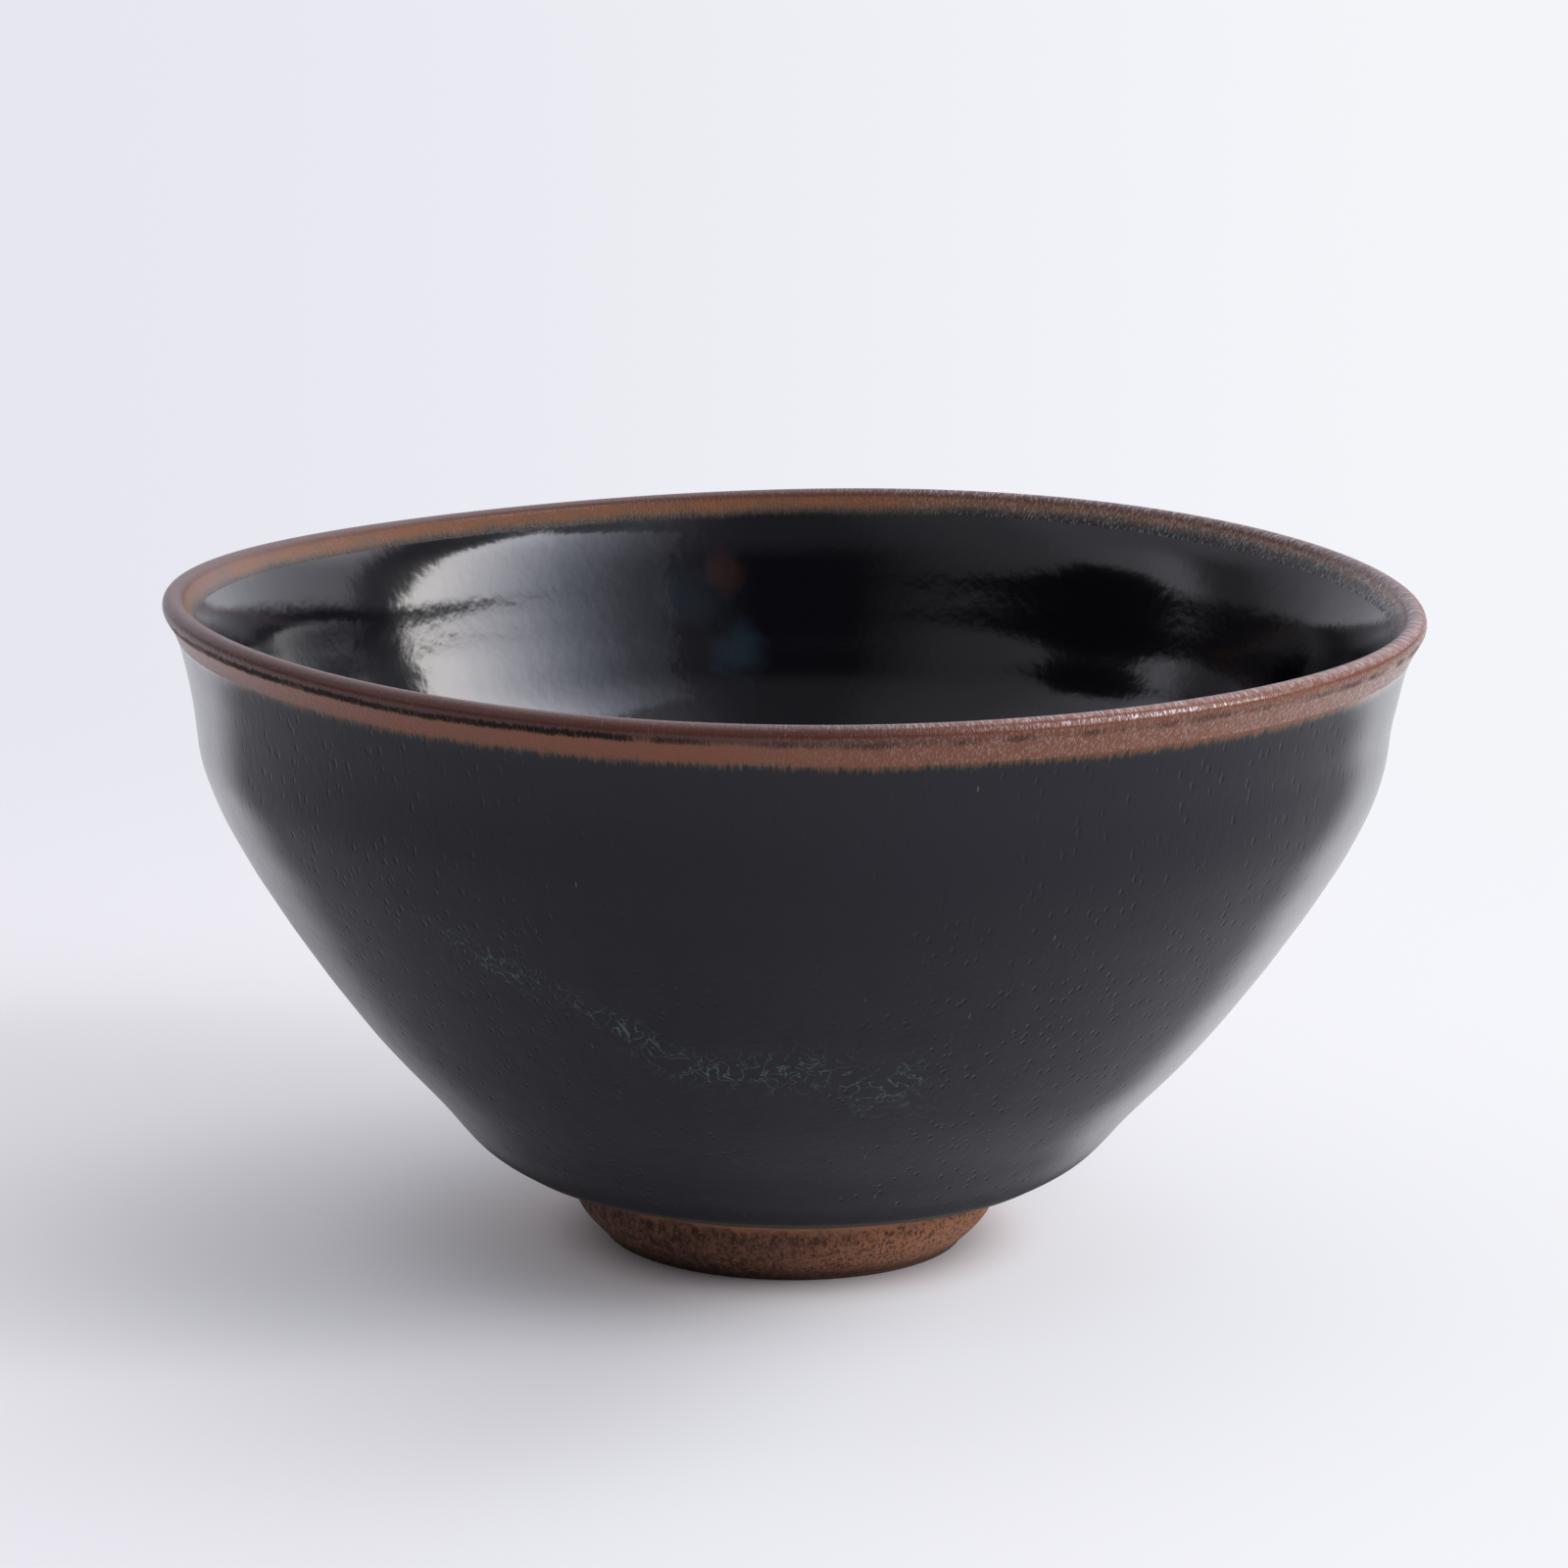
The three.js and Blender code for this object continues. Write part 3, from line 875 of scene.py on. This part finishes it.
def bare_clay(shape, look):
    """Dry fired clay, mottled, with painted light making it lighter to the right and in the strip
    under the glaze, dark at its lower edge.
    """
    material, bench = new_material("bare_clay")
    where = BowlPlace(bench, shape)
    upright = bench.vector_maths("MULTIPLY", where.place, (1, 1, 0.7))
    lumps = bench.noise(upright, size=0.8, detail=4, roughness=0.7)
    patches = bench.noise(where.place, size=5, detail=3)
    grain = bench.noise(upright, size=0.35, roughness=0.7)
    grog = bench.smooth(bench.noise(where.place, size=0.40, detail=1), 0.60, 0.72)
    # Painted light: the clay is lighter to the right, on the window's side.
    painted_light_right = bench.smooth(where.aside + 0.8 * (patches - 0.5), -0.35, 0.65)
    # Painted highlight: the strip of underside just below the glaze edge, which catches the light.
    painted_underside_light = bench.smooth(where.height + lumps * 1.2 + patches * 1.2, 6.6, 7.8)
    low = bench.smooth(where.height + lumps * 2, 3, 1.2)
    shade = bench.mix(bench.smooth(lumps, 0.36, 0.60), paint(look.dark), paint(look.brown))
    for share, tone in ((painted_light_right * bench.smooth(grain, 0.30, 0.60), look.pale),
                        (bench.smooth(grain, 0.52, 0.34) * 0.7, look.dark),
                        (grog * 0.6, look.pale), (painted_underside_light * 0.8, look.pale),
                        (low * 0.8, look.dark)):
        shade = bench.mix(share, shade, paint(tone))
    grit = bench.noise(where.place, size=0.35, detail=3) * CLAY_GRIT + lumps * CLAY_LUMPS
    bench.surface({"Base Color": shade, "Roughness": 0.82, "Normal": bench.bump(grit),
                   "Specular IOR Level": 0.3})
    return material


# Operators

class TEABOWL_OT_clay_body(bpy.types.Operator):
    """Throw the clay wall, floor and foot ring from one lump"""
    bl_idname = "teabowl.clay_body"
    bl_label = "Clay body"

    def execute(self, context):
        settings = context.scene.tea_bowl
        outline = BowlOutline(settings.shape)
        rings = outline.outside_rings + outline.brown_rings[1:] + outline.inside_rings[1:]
        piece = throw("stoneware_body", outline.foot() + clay_side(rings))
        finish_piece(piece, "clay_body", bare_clay(settings.shape, settings.clay))
        return {"FINISHED"}


class TEABOWL_OT_outside_glaze(bpy.types.Operator):
    """Coat the outside down to the thick roll above the foot"""
    bl_idname = "teabowl.outside_glaze"
    bl_label = "Outside glaze"

    def execute(self, context):
        settings = context.scene.tea_bowl
        rings = BowlOutline(settings.shape).outside_rings
        piece = throw("outer_black_glaze", closed_coat(rings))
        draw_up_edge(piece, rings[0])
        finish_piece(piece, "outside_glaze",
                     satin_black(settings.shape, settings.glaze))
        return {"FINISHED"}


class TEABOWL_OT_inside_glaze(bpy.types.Operator):
    """Coat the inside, thicker in the well"""
    bl_idname = "teabowl.inside_glaze"
    bl_label = "Inside glaze"

    def execute(self, context):
        settings = context.scene.tea_bowl
        rings = BowlOutline(settings.shape).inside_rings
        air = swollen_air_side(settings.shape, rings)
        piece = throw("inner_black_glaze", clay_side(rings)[::-1] + air)
        finish_piece(piece, "inside_glaze",
                     glossy_black(settings.shape, settings.glaze))
        return {"FINISHED"}


class TEABOWL_OT_lip_glaze(bpy.types.Operator):
    """Coat the lip, where the glaze drew away and fired brown"""
    bl_idname = "teabowl.lip_glaze"
    bl_label = "Lip glaze"

    def execute(self, context):
        settings = context.scene.tea_bowl
        rings = BowlOutline(settings.shape).brown_rings
        piece = throw("brown_lip_glaze", closed_coat(rings))
        finish_piece(piece, "lip_glaze",
                     rust_brown(settings.shape, settings.glaze))
        return {"FINISHED"}


FLOOR_RADIUS = 4
WINDOW_SIZE = (1.72, 1.40)
WINDOW_DISTANCE, WINDOW_HEIGHT = 1.3, 1.07
WINDOW_LEAST, WINDOW_LEAN = 0.036, 0.32
WINDOW_COOL, WINDOW_WARM = (0.82, 0.87, 1.08), (1, 0.955, 0.93)
CEILING_SIZE = (1.4, 1.4)
CEILING_PLACE = (0, 0.05, 1.7)
CEILING_TINT = (0.97, 0.98, 1)


def add_panel(name, location, facing, size, radiance, tint):
    """A soft panel of light that looks along facing."""
    deselect_everything()
    bpy.ops.object.light_add(type="AREA", location=location,
                             rotation=(-Vector(facing)).to_track_quat("Z", "Y").to_euler())
    panel = bpy.context.object
    panel.name = panel.data.name = name
    panel.visible_camera = False
    light = panel.data
    light.shape = "RECTANGLE"
    light.size, light.size_y = size
    light.energy = pi * radiance * size[0] * size[1]
    light.color = tint
    return panel


def fade_window(panel):
    """The window is brightest on its right; its right edge leans in towards the top."""
    light = panel.data
    light.use_nodes = True
    bench = Bench(light.node_tree)
    across, up, _ = bench.split(bench.node("ShaderNodeNewGeometry", None, None, "Parametric"))
    rise = bench.smooth(across, -0.02, 0.9)
    sill = bench.smooth(up, 0, 0.035)
    strength = (rise * (0.2 + 0.8 * rise) + WINDOW_LEAST) * sill
    kept = bench.smooth(across + up * WINDOW_LEAN, 1.03, 0.975)
    tint = bench.mix(bench.smooth(across, 0.2, 1.05), paint(WINDOW_COOL), paint(WINDOW_WARM))
    glow = bench.node("ShaderNodeEmission", None, {"Color": tint, "Strength": strength * kept})
    bench.node("ShaderNodeOutputLight", None, {"Surface": glow})


# The room round the bowl: a turn from +X, the brightness of the wall there, the height at which
# it starts, and the brightness high above it. Turns and heights are in degrees.
ROOM = (
    (-180, 1.4, 12.5, 0.8), (-176, 1.35, 14, 0.8), (-170, 1.05, 21, 0.8), (-163, 0.98, 24, 0.8),
    (-155, 0.74, 25.5, 0.75), (-147, 0.55, 20, 0.55), (-135, 0.45, 18, 0.5),
    (-125, 0.37, 17.5, 0.45), (-115, 0.20, 17, 0.35), (-104, 0.03, 15, 0.2),
    (-82, 0.02, 15, 0.2), (-70, 0.2, 13, 0.3), (-50, 0.24, 12, 0.8), (0, 0.34, 11, 0.34),
    (12, 0.32, 11, 0.2), (15, 0.55, 11.5, 0.3), (19, 1.35, 12.5, 1.1), (23, 1.42, 13, 2.2),
    (32, 1.42, 11.5, 2.6), (45, 1.42, 8.5, 2.6), (64, 1.42, 4, 2.4), (80, 1, 4, 2),
    (112, 0.85, 1.5, 1.3), (132, 0.80, 3.5, 1.2), (142, 0.66, 6.5, 1.2), (152, 0.50, 8.5, 1.1),
    (161, 0.27, 10, 1), (168, 0.27, 11, 0.9), (173, 0.42, 11, 0.8), (177, 0.90, 12, 0.8),
    (180, 1.4, 12.5, 0.8),
)
ROOM_BRIGHTEST = 3
ROOM_TINT = (0.94, 0.935, 1.05)
WALL_SOFTNESS = 2
WALL_TOP, WALL_TOP_SOFTNESS = 33, 8

# The matt floor takes painted glow near the bowl, clear of the foot, and goes over to an even glow
# far off
FOOT_SHADOW = (0.017, 0.027)
# Where the weak painted glow that lifts the bowl's shadow comes in, and how strong it is
BOWL_SHADOW, PAINTED_SHADOW_FILL = (0.025, 0.05), 0.12
SWEEP = (0.05, 0.27)
SWEEP_SIDE = 0.13


def light_room(stage):
    """The room: soft pale walls around the bowl, unseen by the camera."""
    world = bpy.context.scene.world or bpy.data.worlds.new("room")
    bpy.context.scene.world = world
    world.use_nodes = True
    bench = Bench(world.node_tree)
    x, y, z = bench.split(bench.node("ShaderNodeTexCoord", None, None, "Generated"))
    stops = [((turn + 180) / 360, (wall / ROOM_BRIGHTEST, low / 90, sky / ROOM_BRIGHTEST, 1))
             for turn, wall, low, sky in ROOM]
    turn = bench.maths("ARCTAN2", y, x) / (2 * pi) + 0.5
    wall, low, sky = bench.split(bench.node("ShaderNodeValToRGB", {"stops": stops}, {0: turn}))
    height = bench.maths("ARCSINE", z) * (2 / pi)
    edge = WALL_SOFTNESS / 90
    above = bench.smooth(height - low, -edge, edge)
    high = bench.smooth(height, (WALL_TOP - WALL_TOP_SOFTNESS) / 90,
                        (WALL_TOP + WALL_TOP_SOFTNESS) / 90)
    glow = (wall * above * (1 - high) + sky * high) * ROOM_BRIGHTEST
    glow = bench.node("ShaderNodeBackground", None,
                      {"Color": paint(ROOM_TINT), "Strength": glow + stage.dimness})
    pale = bench.node("ShaderNodeBackground", None,
                      {"Color": sweep_shade(bench, stage, x, y, 0.1), "Strength": 1})
    seen = bench.node("ShaderNodeLightPath", None, None, "Is Camera Ray")
    both = bench.node("ShaderNodeMixShader", None, {0: seen, 1: glow, 2: pale})
    bench.node("ShaderNodeOutputWorld", None, {"Surface": both})


def sweep_shade(bench, stage, x, y, least):
    """The far floor and the pale room behind it, a little brighter on the right as painted light from
    the window's side.

    Distances under least count as least, so the shade has no seam under the camera.
    """
    side = bench.smooth(x / bench.maths("MAXIMUM", abs(y), least), -SWEEP_SIDE, SWEEP_SIDE)
    return bench.mix(side, paint(stage.far_left), paint(stage.far_right))


def pale_floor(stage):
    """Matt floor with the bowl's shadow and painted glow near the bowl, which goes over into an even
    pale sweep.
    """
    material, bench = new_material("pale_floor")
    place = bench.node("ShaderNodeTexCoord", None, None, "Object")
    x, y, _ = bench.split(place)
    away = bench.hypot(x, y)
    # Painted light: the floor glows most to the bowl's right and front, on the window's side.
    painted_floor_light = bench.smooth(x * 1.6 - y * 0.6, -0.01, 0.05, 0.1, 0.6)
    near = painted_floor_light * bench.smooth(away, *FOOT_SHADOW)
    # A weak painted glow lifts the bowl's shadow all round.
    near = near + bench.smooth(away, *BOWL_SHADOW) * PAINTED_SHADOW_FILL
    far = near + (1 - near) * bench.smooth(away, *SWEEP)
    shade = sweep_shade(bench, stage, x, y + stage.camera_distance, 0.4)
    matt = bench.node("ShaderNodeBsdfDiffuse", None, {"Color": paint(stage.floor_colour)})
    glow = bench.node("ShaderNodeEmission", None, {"Color": shade, "Strength": 1})
    both = bench.node("ShaderNodeMixShader", None, {0: far, 1: matt, 2: glow})
    bench.node("ShaderNodeOutputMaterial", None, {"Surface": both})
    return material


class TEABOWL_OT_stage(bpy.types.Operator):
    """Lay the floor, hang the lights and place the camera"""
    bl_idname = "teabowl.stage"
    bl_label = "Stage"

    def execute(self, context):
        stage = context.scene.tea_bowl.stage
        deselect_everything()
        bpy.ops.mesh.primitive_circle_add(vertices=96, radius=FLOOR_RADIUS, fill_type="NGON",
                                          location=(0.0, 0.0, 0.0))
        ground = context.object
        ground.name = ground.data.name = "floor"
        ground.data.materials.append(pale_floor(stage))

        outwards = Vector((cos(stage.window_turn), sin(stage.window_turn), 0.0))
        middle = outwards * WINDOW_DISTANCE + Vector((0.0, 0.0, WINDOW_HEIGHT))
        fade_window(add_panel("window", middle, -outwards, WINDOW_SIZE, stage.window,
                              (1.0, 1.0, 1.0)))
        add_panel("ceiling", CEILING_PLACE, (0.0, 0.0, -1.0), CEILING_SIZE, stage.ceiling,
                  CEILING_TINT)
        light_room(stage)

        away = Vector((0.0, -cos(stage.camera_rise), sin(stage.camera_rise)))
        tilt = Matrix.Rotation(pi / 2 - stage.camera_rise, 3, "X")
        turned = tilt @ Matrix.Rotation(stage.camera_roll, 3, "Z")
        deselect_everything()
        bpy.ops.object.camera_add(location=Vector(stage.aim) + away * stage.camera_distance,
                                  rotation=turned.to_euler())
        camera = context.object
        camera.name = camera.data.name = "camera"
        camera.data.sensor_width = 36.0
        camera.data.lens = stage.camera_lens
        camera.data.clip_start, camera.data.clip_end = 0.01, 50.0
        context.scene.camera = camera
        context.scene.view_settings.view_transform = "Standard"
        return {"FINISHED"}


class TEABOWL_PT_bench(bpy.types.Panel):
    """Lists the steps and the settings of the bowl"""
    bl_idname = "TEABOWL_PT_bench"
    bl_label = "Tea Bowl"
    bl_space_type = "VIEW_3D"
    bl_region_type = "UI"
    bl_category = "Tea Bowl"

    def draw(self, context):
        settings = context.scene.tea_bowl
        for step in STEPS:
            self.layout.operator(step.bl_idname)
        for title, group in (("Shape", settings.shape), ("Glaze", settings.glaze),
                             ("Clay", settings.clay), ("Stage", settings.stage)):
            box = self.layout.box()
            box.label(text=title)
            for name in group.__annotations__:
                box.prop(group, name)


STEPS = (TEABOWL_OT_clay_body, TEABOWL_OT_outside_glaze, TEABOWL_OT_inside_glaze,
         TEABOWL_OT_lip_glaze, TEABOWL_OT_stage)
GROUPS = (BowlShape, GlazeLook, ClayLook, StageLook, TeaBowl)
CLASSES = GROUPS + STEPS + (TEABOWL_PT_bench,)


def register():
    for part in CLASSES:
        bpy.utils.register_class(part)
    bpy.types.Scene.tea_bowl = PointerProperty(type=TeaBowl)


def unregister():
    del bpy.types.Scene.tea_bowl
    for part in reversed(CLASSES):
        bpy.utils.unregister_class(part)


def main():
    register()
    bpy.ops.teabowl.clay_body()
    bpy.ops.teabowl.outside_glaze()
    bpy.ops.teabowl.inside_glaze()
    bpy.ops.teabowl.lip_glaze()
    bpy.ops.teabowl.stage()


if __name__ == "__main__":
    main()
